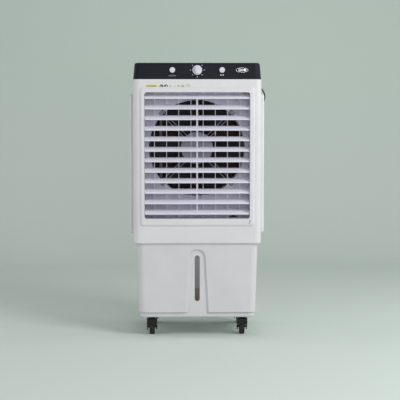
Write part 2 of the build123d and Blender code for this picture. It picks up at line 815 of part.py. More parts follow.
with BuildPart() as tank:
    # Base, from the floor up
    with BuildSketch(Plane.XY.offset(tank_floor_z)):
        RectangleRounded(base_width_low, base_depth, tank_corner - 4)
    with BuildSketch(Plane.XY.offset(tank_top_z)):
        RectangleRounded(base_width_high, base_depth, tank_corner - 4)
    loft()
    fillet(tank.edges().group_by(Axis.Z)[0], 7)
    # Raised faces above the groove
    with BuildSketch(Plane.XY.offset(groove_z)):
        RectangleRounded(tank_width_low, tank_depth, tank_corner)
    with BuildSketch(Plane.XY.offset(tank_top_z)):
        RectangleRounded(tank_width_high, tank_depth, tank_corner)
    loft()
    # Arched recess, bevelled all round
    with BuildSketch(Plane.XZ.offset(-tank_front_y)):
        add(arch_outline(0))
        make_face()
    with BuildSketch(Plane.XZ.offset(-tank_front_y - rim_step)):
        add(arch_outline(-arch_bevel))
        make_face()
    loft(mode=Mode.SUBTRACT)
    # Flange that carries the housing
    with BuildSketch(Plane.XY.offset(tank_top_z - flange_thickness)):
        RectangleRounded(flange_width, flange_depth, body_corner - wall - 2)
    extrude(amount=flange_thickness)
    # Cavity: narrow inside the base, wider inside the raised faces
    with BuildSketch(Plane.XY.offset(tank_floor_z + wall)):
        RectangleRounded(base_width_low - 2 * wall, base_depth - 2 * wall, tank_corner - 8)
    extrude(amount=groove_z - tank_floor_z, mode=Mode.SUBTRACT)
    with BuildSketch(Plane.XY.offset(groove_z + wall)):
        RectangleRounded(tank_width_low - 2 * wall, tank_depth - 2 * wall, tank_corner - wall)
    with BuildSketch(Plane.XY.offset(tank_top_z)):
        RectangleRounded(tank_width_high - 2 * wall, tank_depth - 2 * wall, tank_corner - wall)
    loft(mode=Mode.SUBTRACT)
    # Inner wall behind the recess
    with BuildSketch(Plane.XZ.offset(-tank_front_y - rim_step - wall)):
        add(arch_outline(wall))
        make_face()
        with Locations((0, groove_z - 20 + wall)):
            Rectangle(200, 2 * 20, mode=Mode.SUBTRACT)
    extrude(amount=rim_step + wall - 0.5)
    with BuildSketch(Plane.XZ.offset(-tank_front_y)):
        add(arch_outline(0))
        make_face()
    with BuildSketch(Plane.XZ.offset(-tank_front_y - rim_step)):
        add(arch_outline(-arch_bevel))
        make_face()
    loft(mode=Mode.SUBTRACT)
    # Water-level window
    with BuildSketch(Plane.XZ.offset(-tank_front_y - rim_step - 2 * wall)):
        with Locations((0, window_z)):
            SlotOverall(window_length, window_width, rotation=90)
    extrude(amount=3 * wall, mode=Mode.SUBTRACT)
    # Rear holes for the inlet and the drain
    with BuildSketch(Plane.XZ.offset(tank_front_y - 5)):
        with Locations((inlet_x, inlet_z)):
            Circle(inlet_bore)
        with Locations((drain_x, drain_z)):
            Circle(drain_radius + 0.2)
    extrude(amount=3 * wall + 5, mode=Mode.SUBTRACT)
    # Shadow groove under the raised faces, broken at the foot of the recess
    with BuildSketch(Plane.XY.offset(groove_z - groove_height)):
        RectangleRounded(tank_width_low, tank_depth, tank_corner)
        RectangleRounded(
            base_width_low - 2 * groove_cut,
            base_depth - 2 * groove_cut,
            tank_corner - 4 - groove_cut,
            mode=Mode.SUBTRACT,
        )
        with Locations((0, -base_depth / 2)):
            Rectangle(2 * (arch_foot - arch_bevel), 4 * rim_step, mode=Mode.SUBTRACT)
    extrude(amount=groove_height, mode=Mode.SUBTRACT)
    # Caster screw holes
    with BuildSketch(Plane.XY.offset(tank_floor_z)):
        with Locations(plate_screws):
            Circle(screw_radius + 0.1)
    extrude(amount=2 * wall, mode=Mode.SUBTRACT)
tank.part.label = "tank"
export_step(tank.part, "parts/tank.step")

recess_y = tank_front_y + rim_step
with BuildPart() as level_window:
    with BuildSketch(Plane.XZ.offset(-recess_y - wall)):
        with Locations((0, window_z)):
            SlotOverall(window_length - 2 * window_gap, window_width - 2 * window_gap, rotation=90)
    extrude(amount=wall - 1)
    with BuildSketch(Plane.XZ.offset(-recess_y - wall - 2)):
        with Locations((0, window_z)):
            SlotOverall(window_length + 10, window_width + 10, rotation=90)
    extrude(amount=2)
level_window.part.label = "level_window"
export_step(level_window.part, "parts/level_window.step")

with BuildPart() as drain_plug:
    with BuildSketch(Plane.XZ.offset(tank_front_y + 10)):
        with Locations((drain_x, drain_z)):
            Circle(drain_radius)
    extrude(amount=-10)
    with BuildSketch(Plane.XZ.offset(tank_front_y)):
        with Locations((drain_x, drain_z)):
            Circle(drain_radius + 4)
    extrude(amount=-4)
    with BuildSketch(Plane.XZ.offset(tank_front_y - 4)):
        with Locations((drain_x, drain_z)):
            RegularPolygon(drain_radius - 1, 6)
    extrude(amount=-7)
drain_plug.part.label = "drain_plug"
export_step(drain_plug.part, "parts/drain_plug.step")

# Float valve: spigot out through the rear wall, body and hinge inside
valve_inner_y = tank_depth / 2 - 12
hinge_y = valve_inner_y - 22
locknut_thickness = 4.0
spigot_length = 18.0
float_droop = 55.0
float_arm_length = 118.0
float_radius = 28.0
hinge_pin_radius = 2.0
float_dir = (0, -cos(radians(float_droop)), -sin(radians(float_droop)))
float_plane = Plane(origin=(inlet_x, hinge_y, inlet_z), x_dir=(1, 0, 0), z_dir=float_dir)

with BuildPart() as inlet_valve:
    with BuildSketch(Plane.XZ.offset(-valve_inner_y)):
        with Locations((inlet_x, inlet_z)):
            Circle(inlet_radius)
    extrude(amount=-(tank_depth / 2 - valve_inner_y + locknut_thickness + spigot_length))
    with BuildSketch(Plane.XZ.offset(-tank_depth / 2 + wall)):
        with Locations((inlet_x, inlet_z)):
            RegularPolygon(15, 6)
    extrude(amount=tank_depth / 2 - wall - valve_inner_y)
    # Locknut outside the tank, which a hose end seats against
    with BuildSketch(Plane.XZ.offset(-tank_depth / 2)):
        with Locations((inlet_x, inlet_z)):
            RegularPolygon(15, 6)
    extrude(amount=-locknut_thickness)
    # Fork that holds the float arm's pin
    with BuildSketch(Plane.YZ.offset(inlet_x - 9)):
        with Locations((hinge_y, inlet_z)):
            Circle(5)
        with Locations(((hinge_y + valve_inner_y) / 2 + 1, inlet_z)):
            Rectangle(valve_inner_y - hinge_y + 2, 9)
    extrude(amount=18)
    with BuildSketch(Plane.YZ.offset(inlet_x - 4.5)):
        with Locations((hinge_y - 3, inlet_z)):
            Rectangle(22, 30)
    extrude(amount=9, mode=Mode.SUBTRACT)
    with BuildSketch(Plane.YZ.offset(inlet_x - 9)):
        with Locations((hinge_y, inlet_z)):
            Circle(hinge_pin_radius + running_fit)
    extrude(amount=18, mode=Mode.SUBTRACT)
inlet_valve.part.label = "inlet_valve"
export_step(inlet_valve.part, "parts/inlet_valve.step")

with BuildPart() as float_arm:
    with BuildSketch(float_plane):
        Circle(2.5)
    extrude(amount=float_arm_length)
    with Locations(float_plane.offset(float_arm_length + float_radius - 6)):
        Sphere(float_radius)
    with BuildSketch(Plane.YZ.offset(inlet_x - 4)):
        with Locations((hinge_y, inlet_z)):
            Circle(5)
    extrude(amount=8)
    with BuildSketch(Plane.YZ.offset(inlet_x - 9)):
        with Locations((hinge_y, inlet_z)):
            Circle(hinge_pin_radius)
    extrude(amount=18)
float_arm.part.label = "float_arm"
export_step(float_arm.part, "parts/float_arm.step")

# ---- casters: four plates, forks on their kingpins, wheels on their axles --------------
plate_size = 42.0
plate_thickness = 5.0
race_radius = 16.0
kingpin_radius = 4.0
hood_low_z = 42.0
axle_z = wheel_radius
fork_cheek = 4.0
hood_reach = 21.0
cheek_end = 6.0
cheek_drop = 12.0
screw_head = 2.2

with BuildPart() as caster_plates:
    with BuildSketch(Plane.XY.offset(tank_floor_z - plate_thickness)):
        with Locations(caster_places):
            RectangleRounded(plate_size, plate_size, 5)
        with Locations(plate_screws):
            Circle(screw_radius + 0.1, mode=Mode.SUBTRACT)
    extrude(amount=plate_thickness)
    with BuildSketch(Plane.XY.offset(fork_top_z + 0.4)):
        with Locations(caster_places):
            Circle(race_radius)
    extrude(amount=tank_floor_z - plate_thickness - fork_top_z)
    with BuildSketch(Plane.XY.offset(fork_top_z + 0.4)):
        with Locations(caster_places):
            Circle(kingpin_radius + running_fit)
    extrude(amount=tank_floor_z - fork_top_z - 1.4, mode=Mode.SUBTRACT)
caster_plates.part.label = "caster_plates"
export_step(caster_plates.part, "parts/caster_plates.step")

corner_names = ["front_left", "front_right", "rear_left", "rear_right"]
for corner, (x, y) in zip(corner_names, caster_places):
    axle_y = y + caster_trail
    with BuildPart() as fork:
        # Hood over the wheel
        with BuildSketch(Plane.YZ.offset(x - fork_width / 2)):
            with BuildLine():
                Polyline(
                    (y - hood_reach, hood_low_z + 6),
                    (y - hood_reach, fork_top_z),
                    (axle_y + 6, fork_top_z),
                    (axle_y + hood_reach + 4, hood_low_z + 10),
                    (axle_y + hood_reach + 4, hood_low_z),
                    (axle_y + 10, hood_low_z),
                    (axle_y + cheek_end, axle_z - cheek_drop),
                    (axle_y - cheek_end, axle_z - cheek_drop),
                    (axle_y - 14, hood_low_z),
                    (y - hood_reach + 7, hood_low_z),
                    close=True,
                )
            make_face()
        extrude(amount=fork_width)
        fillet(fork.edges().filter_by(Axis.X).group_by(Axis.Z)[-1], 6)
        with BuildSketch(Plane.YZ.offset(x - fork_width / 2 + fork_cheek)):
            with Locations((axle_y, axle_z)):
                Circle(wheel_radius + 3)
            with Locations((axle_y + 20, axle_z)):
                Rectangle(60, 2 * wheel_radius + 4)
        extrude(amount=fork_width - 2 * fork_cheek, mode=Mode.SUBTRACT)
        with BuildSketch(Plane.YZ.offset(x - fork_width / 2 - 1)):
            with Locations((axle_y, axle_z)):
                Circle(axle_radius)
        extrude(amount=fork_width + 2)
        # Spacers that keep the wheel off the cheeks
        for start in (x - fork_width / 2, x + wheel_width / 2 + 0.5):
            with BuildSketch(Plane.YZ.offset(start)):
                with Locations((axle_y, axle_z)):
                    Circle(axle_radius + 2)
            extrude(amount=(fork_width - wheel_width) / 2 - 0.5)
        with BuildSketch(Plane.XY.offset(fork_top_z - 2)):
            with Locations((x, y)):
                Circle(kingpin_radius)
        extrude(amount=tank_floor_z - fork_top_z)
    fork.part.label = f"caster_fork_{corner}"
    export_step(fork.part, f"parts/caster_fork_{corner}.step")

    with BuildPart() as wheel:
        with BuildSketch(Plane.YZ.offset(x - wheel_width / 2)):
            with Locations((axle_y, axle_z)):
                Circle(wheel_radius)
        extrude(amount=wheel_width)
        fillet(wheel.edges(), 3)
        # Dished sides
        for start, way in ((x - wheel_width / 2, 1), (x + wheel_width / 2, -1)):
            with BuildSketch(Plane.YZ.offset(start)):
                with Locations((axle_y, axle_z)):
                    Circle(wheel_radius - 7)
                    Circle(8, mode=Mode.SUBTRACT)
            extrude(amount=way * 3, mode=Mode.SUBTRACT)
        with BuildSketch(Plane.YZ.offset(x - wheel_width / 2)):
            with Locations((axle_y, axle_z)):
                Circle(axle_radius + running_fit)
        extrude(amount=wheel_width, mode=Mode.SUBTRACT)
    wheel.part.label = f"caster_wheel_{corner}"
    export_step(wheel.part, f"parts/caster_wheel_{corner}.step")

# ---- screws that hold the caster plates ------------------------------------------------
with BuildPart() as screws:
    with BuildSketch(Plane.XY.offset(tank_floor_z - plate_thickness - screw_head)):
        with Locations(plate_screws):
            Circle(screw_radius + 1.6)
    extrude(amount=screw_head)
    with BuildSketch(Plane.XY.offset(tank_floor_z - plate_thickness)):
        with Locations(plate_screws):
            Circle(screw_radius)
    extrude(amount=plate_thickness + wall)
screws.part.label = "screws"
export_step(screws.part, "parts/screws.step")

# ---- mains lead: tapered relief, hanging tube, coil on the floor, plug ------------------
relief_droop = radians(33)
relief_length = 24.0
relief_dir = (cos(relief_droop), 0, -sin(relief_droop))
relief_plane = Plane(
    origin=(body_width / 2, gland_y, gland_z), x_dir=(0, 1, 0), z_dir=relief_dir
)
cord_exit = relief_plane.from_local_coords((0, 0, relief_length))

with BuildPart() as strain_relief:
    with BuildSketch(Plane.YZ.offset(body_width / 2 - wall - 3)):
        with Locations((gland_y, gland_z)):
            Circle(gland_bore - 0.1)
    extrude(amount=wall + 3)
    with BuildSketch(Plane.YZ.offset(body_width / 2)):
        with Locations((gland_y, gland_z)):
            Circle(9.5)
    extrude(amount=2.5)
    with BuildSketch(relief_plane.offset(-4)):
        Circle(7.5)
    with BuildSketch(relief_plane.offset(relief_length)):
        Circle(cord_radius + 0.9)
    loft()
    with BuildSketch(Plane.YZ.offset(body_width / 2 - wall - 3)):
        with Locations((gland_y, gland_z)):
            Circle(40)
            Circle(gland_bore - 0.1, mode=Mode.SUBTRACT)
    extrude(amount=wall + 3, mode=Mode.SUBTRACT)
strain_relief.part.label = "strain_relief"
export_step(strain_relief.part, "parts/strain_relief.step")

coil_x = 128.0
coil_y = 391.0
coil_middle_radius = 36.0
coil_turns = 3
cord_route = [
    tuple(cord_exit),
    (288.0, 165.0, 995.0),
    (296.0, 171.0, 973.0),
    (289.5, 181.0, 947.0),
    (279.5, 198.0, 901.0),
    (267.5, 214.0, 825.0),
    (257.0, 226.5, 733.0),
    (251.5, 236.0, 633.0),
    (250.5, 248.0, 531.0),
    (247.0, 259.0, 431.0),
    (248.5, 275.0, 331.0),
    (246.5, 293.5, 236.0),
    (247.0, 314.5, 151.0),
    (244.5, 329.0, 98.0),
    (237.5, 339.5, 61.0),
    (222.5, 346.5, 34.0),
    (201.0, 350.5, 15.5),
    (175.0, 352.2, 5.5),
    (150.0, 352.2, cord_radius),
    (coil_x, 352.0, cord_radius),
]

corner_radii = []
tube_length = 0
for i, (before, here, after) in enumerate(zip(cord_route, cord_route[1:], cord_route[2:])):
    run_in = Vector(*here) - Vector(*before)
    run_out = Vector(*after) - Vector(*here)
    turn = radians(run_in.get_angle(run_out))
    radius = 0.45 * min(run_in.length, run_out.length) / tan(turn / 2)
    corner_radii.append(radius)
    tube_length += run_in.length - 2 * radius * tan(turn / 2) + radius * turn
tube_length += (Vector(*cord_route[-1]) - Vector(*cord_route[-2])).length
print("cord radii", [round(r, 1) for r in corner_radii])

with BuildPart() as power_cord:
    with BuildLine() as cord_line:
        FilletPolyline(*cord_route, radius=corner_radii)
    with BuildSketch(Plane(origin=cord_exit, x_dir=(0, 1, 0), z_dir=cord_line.line % 0)):
        Circle(cord_radius)
    sweep()
power_cord.part.label = "power_cord"
export_step(power_cord.part, "parts/power_cord.step")

# Coil: two turns side by side on the floor, one lying in the valley on top of them
coil_half_width = 2 * cord_radius
coil_height = (2 + 3**0.5) * cord_radius
with BuildPart() as cord_coil:
    with BuildSketch(Plane.XY):
        with Locations((coil_x, coil_y)):
            Circle(coil_middle_radius + coil_half_width)
            Circle(coil_middle_radius - coil_half_width, mode=Mode.SUBTRACT)
    extrude(amount=2 * cord_radius)
    with BuildSketch(Plane.XY.offset(2 * cord_radius)):
        with Locations((coil_x, coil_y)):
            Circle(coil_middle_radius + cord_radius)
            Circle(coil_middle_radius - cord_radius, mode=Mode.SUBTRACT)
    extrude(amount=coil_height - 2 * cord_radius)
cord_coil.part.label = "cord_coil"
export_step(cord_coil.part, "parts/cord_coil.step")

# Two-pin plug, lying where the coil's top turn leaves it
plug_boot = 20.0
plug_body = 34.0
plug_pin = 19.0
plug_pin_spacing = 19.0
plug_height = 2 * (2 + 3**0.5 - 1) * cord_radius
plug_z = plug_height / 2
plug_tail_x = coil_x - 25
plug_y = coil_y - coil_middle_radius
plug_plane = Plane(origin=(plug_tail_x, plug_y, plug_z), x_dir=(0, -1, 0), z_dir=(-1, 0, 0))

with BuildPart() as power_plug:
    with BuildSketch(plug_plane):
        Circle(cord_radius + 1)
    with BuildSketch(plug_plane.offset(plug_boot)):
        Circle(6.5)
    loft()
    with BuildSketch(plug_plane.offset(plug_boot - 4)):
        RectangleRounded(20, plug_height - 2, 5)
    with BuildSketch(plug_plane.offset(plug_boot + plug_body / 2)):
        RectangleRounded(34, plug_height, 6)
    with BuildSketch(plug_plane.offset(plug_boot + plug_body - 4)):
        RectangleRounded(36, plug_height, 6)
    loft()
    with BuildSketch(plug_plane.offset(plug_boot + plug_body - 5)):
        with Locations((-plug_pin_spacing / 2, 0), (plug_pin_spacing / 2, 0)):
            Circle(2.4)
    extrude(amount=plug_pin + 1)
power_plug.part.label = "power_plug"
export_step(power_plug.part, "parts/power_plug.step")
print("cord length", round(tube_length + 2 * pi * coil_turns * coil_middle_radius))

# ---- figures for the joints ------------------------------------------------------------
print("control y", round(control_y, 3), "lean", round(degrees(cover_lean), 4))
print("link pin", round(link_pin_y, 4), round(link_heights[0], 4))
print("float hinge", hinge_y, inlet_z)
print("cord exit", [round(v, 3) for v in cord_exit])
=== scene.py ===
import random
from math import atan, cos, pi, radians, sin, sqrt, tau

import bmesh
import bpy
from mathutils import Matrix, Vector


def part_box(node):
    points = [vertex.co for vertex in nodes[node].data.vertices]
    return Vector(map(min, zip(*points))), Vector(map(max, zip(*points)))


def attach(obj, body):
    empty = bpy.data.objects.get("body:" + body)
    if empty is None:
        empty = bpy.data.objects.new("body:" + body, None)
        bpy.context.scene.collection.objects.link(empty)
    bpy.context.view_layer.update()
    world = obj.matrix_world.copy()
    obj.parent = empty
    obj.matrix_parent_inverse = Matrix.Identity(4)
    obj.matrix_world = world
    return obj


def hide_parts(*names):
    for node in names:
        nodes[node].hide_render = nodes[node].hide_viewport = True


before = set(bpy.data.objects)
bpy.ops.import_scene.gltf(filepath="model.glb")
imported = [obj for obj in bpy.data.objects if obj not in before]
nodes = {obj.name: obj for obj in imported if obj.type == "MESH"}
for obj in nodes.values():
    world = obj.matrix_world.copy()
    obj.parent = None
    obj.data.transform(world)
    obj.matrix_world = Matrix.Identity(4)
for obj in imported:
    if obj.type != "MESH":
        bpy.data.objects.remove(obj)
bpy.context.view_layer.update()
MM = 0.001
X_AXIS, Z_AXIS = Vector((1, 0, 0)), Vector((0, 0, 1))
LOUVERS = [f"louver_{i + 1:02d}" for i in range(12)]
VANES = [f"vane_{i + 1}" for i in range(8)]
CORNERS = ["front_left", "front_right", "rear_left", "rear_right"]

# ---- camera -----------------------------------------------------------------------------
FRONT_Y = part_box("housing")[0].y
FRAME_WIDTH = 1.594  # metres across the picture, at the housing's front
CAMERA_DISTANCE = 4.5
CAMERA_AZIMUTH = radians(-1.0)
CAMERA_ELEVATION = radians(4.0)
AIM = Vector((0.0108, FRONT_Y, 0.553))

camera_data = bpy.data.cameras.new("camera")
camera_data.lens = camera_data.sensor_width * CAMERA_DISTANCE / FRAME_WIDTH
camera = bpy.data.objects.new("camera", camera_data)
bpy.context.scene.collection.objects.link(camera)
towards_camera = Vector(
    (
        sin(CAMERA_AZIMUTH) * cos(CAMERA_ELEVATION),
        -cos(CAMERA_AZIMUTH) * cos(CAMERA_ELEVATION),
        sin(CAMERA_ELEVATION),
    )
)
camera.location = AIM + CAMERA_DISTANCE * towards_camera
camera.rotation_euler = (-towards_camera).to_track_quat("-Z", "Y").to_euler()
bpy.context.scene.camera = camera
bpy.context.scene.view_settings.view_transform = "Standard"


# ---- small mesh tools ---------------------------------------------------------------------
def show(name, mesh, body, material=None):
    """Puts a mesh into the scene as a piece that rides on a CAD body."""
    piece = bpy.data.objects.new(name, mesh)
    bpy.context.scene.collection.objects.link(piece)
    if material:
        mesh.materials.append(material)
    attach(piece, body)
    return piece


def smooth(mesh):
    for face in mesh.polygons:
        face.use_smooth = True


def mesh_from(name, build):
    """A mesh that the function build fills in as a bmesh."""
    bm = bmesh.new()
    build(bm)
    bmesh.ops.recalc_face_normals(bm, faces=bm.faces)
    mesh = bpy.data.meshes.new(name)
    bm.to_mesh(mesh)
    bm.free()
    return mesh


def round_sections(profile):
    """Sections for tube from (distance, radius) pairs."""
    return [(distance, radius, radius) for distance, radius in profile]


def slab(bm, outline, place, thickness):
    """A flat plate: an outline of (x, y) in a plane, made thick along the plane's normal."""
    low = [bm.verts.new(place @ Vector((x, y, 0))) for x, y in outline]
    high = [bm.verts.new(place @ Vector((x, y, thickness))) for x, y in outline]
    bm.faces.new(low[::-1])
    bm.faces.new(high)
    for i in range(len(outline)):
        j = (i + 1) % len(outline)
        bm.faces.new((low[i], low[j], high[j], high[i]))


def ellipse(x, y, rx, ry, steps=28):
    return [(x + rx * cos(tau * i / steps), y + ry * sin(tau * i / steps)) for i in range(steps)]


def rounded(x, y, width, height, radius, steps=6):
    """A rounded rectangle's outline about (x, y)."""
    points = []
    for cx, cy, start in (
        (width / 2 - radius, height / 2 - radius, 0),
        (-width / 2 + radius, height / 2 - radius, pi / 2),
        (-width / 2 + radius, -height / 2 + radius, pi),
        (width / 2 - radius, -height / 2 + radius, 3 * pi / 2),
    ):
        for i in range(steps + 1):
            a = start + pi / 2 * i / steps
            points.append((x + cx + radius * cos(a), y + cy + radius * sin(a)))
    return points


def facing(origin, normal, across):
    """A matrix that takes a drawing in x and y to a plane at origin."""
    z = Vector(normal).normalized()
    x = Vector(across).normalized()
    y = z.cross(x)
    m = Matrix((x, y, z)).transposed().to_4x4()
    m.translation = Vector(origin)
    return m


def tube(bm, path, sections, steps=28):
    """Closed tube along a path: (distance, width radius, height radius) sections."""
    start, direction, up = path
    side = direction.cross(up).normalized()
    rings = []
    for distance, wide, high in sections:
        middle = start + distance * direction
        rings.append(
            [
                bm.verts.new((middle + wide * cos(a) * side + high * sin(a) * up) * MM)
                for a in [tau * i / steps for i in range(steps)]
            ]
        )
    for a, b in zip(rings, rings[1:]):
        for i in range(steps):
            j = (i + 1) % steps
            bm.faces.new((a[i], a[j], b[j], b[i]))
    bm.faces.new(rings[0][::-1])
    bm.faces.new(rings[-1])


def ring(bm, place, rx, ry, width, thickness, steps=48):
    """Flat oval ring, made of short slabs."""
    for i in range(steps):
        a, b = tau * i / steps, tau * (i + 1) / steps
        slab(
            bm,
            [
                ((rx - width) * cos(a), (ry - width) * sin(a)),
                (rx * cos(a), ry * sin(a)),
                (rx * cos(b), ry * sin(b)),
                ((rx - width) * cos(b), (ry - width) * sin(b)),
            ],
            place,
            thickness,
        )


# ---- materials ------------------------------------------------------------------------------
def shader(name):
    """A new material with its Principled shader and a noise source in object space."""
    material = bpy.data.materials.new(name)
    material.use_nodes = True
    tree = material.node_tree
    surface = tree.nodes["Principled BSDF"]
    place = tree.nodes.new("ShaderNodeTexCoord")
    return material, tree, surface, place.outputs["Object"]


def noise(tree, place, scale, detail=3.0, roughness=0.5):
    texture = tree.nodes.new("ShaderNodeTexNoise")
    texture.inputs["Scale"].default_value = scale
    texture.inputs["Detail"].default_value = detail
    texture.inputs["Roughness"].default_value = roughness
    tree.links.new(place, texture.inputs["Vector"])
    return texture.outputs["Fac"]


def ramp(tree, source, stops):
    """A colour ramp of (place, colour) stops over a source."""
    node = tree.nodes.new("ShaderNodeValToRGB")
    elements = node.color_ramp.elements
    while len(elements) < len(stops):
        elements.new(0.5)
    for element, (at, colour) in zip(elements, stops):
        element.position = at
        element.color = (*colour, 1)
    tree.links.new(source, node.inputs["Fac"])
    return node.outputs["Color"]


def spread(tree, source, low, high):
    """The source's middle range, spread from low to high."""
    node = tree.nodes.new("ShaderNodeMapRange")
    node.inputs["From Min"].default_value = 0.35
    node.inputs["From Max"].default_value = 0.65
    node.inputs["To Min"].default_value = low
    node.inputs["To Max"].default_value = high
    tree.links.new(source, node.inputs["Value"])
    return node.outputs["Result"]


def bump(tree, surface, source, strength, distance):
    node = tree.nodes.new("ShaderNodeBump")
    node.inputs["Strength"].default_value = strength
    node.inputs["Distance"].default_value = distance
    tree.links.new(source, node.inputs["Height"])
    tree.links.new(node.outputs["Normal"], surface.inputs["Normal"])


def tint(colour, by):
    return tuple(min(1.0, c * by) for c in colour)


def moulded(name, colour, roughness, grain=900.0, relief=0.25, mottle=0.03, shine=0.45):
    """Moulded plastic: a fine spark-eroded grain, faint cloudiness and uneven sheen."""
    material, tree, surface, place = shader(name)
    cloud = noise(tree, place, 9.0, 4.0)
    stops = [(0.3, tint(colour, 1 - mottle)), (0.7, tint(colour, 1 + mottle))]
    tree.links.new(ramp(tree, cloud, stops), surface.inputs["Base Color"])
    sheen = noise(tree, place, 40.0, 5.0, 0.6)
    uneven = spread(tree, sheen, roughness - 0.05, roughness + 0.06)
    tree.links.new(uneven, surface.inputs["Roughness"])
    bump(tree, surface, noise(tree, place, grain, 2.0), relief, 0.00025)
    surface.inputs["Specular IOR Level"].default_value = shine
    return material


def paint(name, colour, roughness=0.4):
    """Ink or paint: a much finer grain than bare plastic."""
    return moulded(name, colour, roughness, grain=1500.0, relief=0.08, mottle=0.05)


def metal(name, colour, roughness, brush=(400.0, 400.0, 30.0)):
    """Metal with fine drawn streaks."""
    material, tree, surface, place = shader(name)
    stretch = tree.nodes.new("ShaderNodeMapping")
    stretch.inputs["Scale"].default_value = brush
    tree.links.new(place, stretch.inputs["Vector"])
    streak = noise(tree, stretch.outputs["Vector"], 3.0, 4.0)
    stops = [(0.3, tint(colour, 0.85)), (0.7, tint(colour, 1.08))]
    tree.links.new(ramp(tree, streak, stops), surface.inputs["Base Color"])
    tree.links.new(spread(tree, streak, roughness - 0.08, roughness + 0.1), surface.inputs["Roughness"])
    surface.inputs["Metallic"].default_value = 1.0
    bump(tree, surface, streak, 0.15, 0.0001)
    return material


def rubbery(name, colour, roughness):
    """Black rubber or soft plastic, dusty in random patches."""
    material, tree, surface, place = shader(name)
    dust = noise(tree, place, 120.0, 6.0, 0.65)
    stops = [(0.35, colour), (0.75, tint(colour, 2.2))]
    tree.links.new(ramp(tree, dust, stops), surface.inputs["Base Color"])
    tree.links.new(spread(tree, dust, roughness - 0.08, roughness + 0.12), surface.inputs["Roughness"])
    bump(tree, surface, noise(tree, place, 1500.0, 2.0), 0.3, 0.0002)
    return material


white = moulded("white_plastic", (0.715, 0.700, 0.715), 0.42)
tank_white = moulded("tank_plastic", (0.655, 0.640, 0.660), 0.40, grain=700.0)
louver_white = moulded("louver_plastic", (0.80, 0.79, 0.875), 0.36, relief=0.12)
vane_white = moulded("vane_plastic", (0.83, 0.82, 0.92), 0.42)
# Lighter, lavender copy of the white plastic: painted light and purple painted shade inside the duct.
bulkhead_painted_light = moulded("lit_bulkhead_painted_tint", (0.84, 0.80, 0.93), 0.5)
navy = moulded(
    "cover_plastic", (0.008, 0.010, 0.016), 0.44, grain=1100.0, relief=0.3, mottle=0.08, shine=0.16
)
silver = moulded("control_plastic", (0.66, 0.65, 0.71), 0.30, relief=0.1)
dark = moulded("dark_plastic", (0.020, 0.018, 0.018), 0.45, mottle=0.1)
# The bracket's white paint is darkened here: painted shade over the motor hub.
bracket_shade_painted = moulded("bracket_paint_darkened_as_shade", (0.36, 0.34, 0.42), 0.33, grain=500.0, relief=0.1)
motor_grey = moulded("motor_paint", (0.55, 0.55, 0.58), 0.4, grain=300.0, relief=0.2)
pipe_white = moulded("pipe_plastic", (0.6, 0.6, 0.62), 0.35)
black = moulded("caster_plastic", (0.006, 0.006, 0.0065), 0.36, mottle=0.15, shine=0.35)
tyre_black = rubbery("wheel_rubber", (0.006, 0.006, 0.006), 0.6)
lead_black = rubbery("lead_rubber", (0.012, 0.012, 0.013), 0.5)
zinc = metal("zinc_steel", (0.62, 0.63, 0.65), 0.35)


def by_height(name, levels, roughness, coat=0.0):
    """Plastic whose colour changes with height: (height in m, colour) from the bottom up."""
    material, tree, surface, place = shader(name)
    split = tree.nodes.new("ShaderNodeSeparateXYZ")
    tree.links.new(place, split.inputs["Vector"])
    low, high = levels[0][0], levels[-1][0]
    scale = tree.nodes.new("ShaderNodeMapRange")
    scale.inputs["From Min"].default_value = low
    scale.inputs["From Max"].default_value = high
    tree.links.new(split.outputs["Z"], scale.inputs["Value"])
    stops = [((z - low) / (high - low), colour) for z, colour in levels]
    colours = ramp(tree, scale.outputs["Result"], stops)
    blotch = noise(tree, place, 60.0, 5.0, 0.6)
    mix = tree.nodes.new("ShaderNodeMix")
    mix.data_type = "RGBA"
    mix.blend_type = "MULTIPLY"
    mix.inputs["Factor"].default_value = 0.5
    tree.links.new(colours, mix.inputs["A"])
    grey = [(0.3, (0.75, 0.75, 0.75)), (0.7, (1.0, 1.0, 1.0))]
    tree.links.new(ramp(tree, blotch, grey), mix.inputs["B"])
    tree.links.new(mix.outputs["Result"], surface.inputs["Base Color"])
    tree.links.new(spread(tree, blotch, roughness - 0.05, roughness + 0.08), surface.inputs["Roughness"])
    bump(tree, surface, noise(tree, place, 700.0, 2.0), 0.15, 0.0002)
    surface.inputs["Coat Weight"].default_value = coat
    return material


def corrugated(name):
    """Cellulose pad: slanting flutes, with the hollows painted dark as shade and the edges of the sheets
    paler.
    """
    material, tree, surface, place = shader(name)
    turn = tree.nodes.new("ShaderNodeMapping")
    turn.inputs["Rotation"].default_value = (radians(45), radians(45), 0)
    tree.links.new(place, turn.inputs["Vector"])
    flutes = tree.nodes.new("ShaderNodeTexWave")
    flutes.inputs["Scale"].default_value = 45.0
    flutes.inputs["Distortion"].default_value = 1.5
    flutes.inputs["Detail"].default_value = 2.0
    tree.links.new(turn.outputs["Vector"], flutes.inputs["Vector"])
    # The dark stop is painted shade in the flute hollows; the pale stop is the pad's lit tan.
    stops = [(0.15, (0.05, 0.028, 0.012)), (0.85, (0.34, 0.21, 0.10))]
    tree.links.new(ramp(tree, flutes.outputs["Fac"], stops), surface.inputs["Base Color"])
    surface.inputs["Roughness"].default_value = 0.9
    bump(tree, surface, flutes.outputs["Fac"], 0.9, 0.003)
    return material


window_low, window_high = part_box("level_window")
WATER_Z = window_low.z + 0.058
window_grey = by_height(
    "window_plastic",
    [
        (window_low.z, (0.058, 0.047, 0.030)),
        (WATER_Z - 0.002, (0.085, 0.073, 0.052)),
        (WATER_Z + 0.002, (0.145, 0.132, 0.140)),
        (window_high.z, (0.20, 0.18, 0.19)),
    ],
    0.16,
    coat=0.5,
)
pad_brown = corrugated("pad_cellulose")

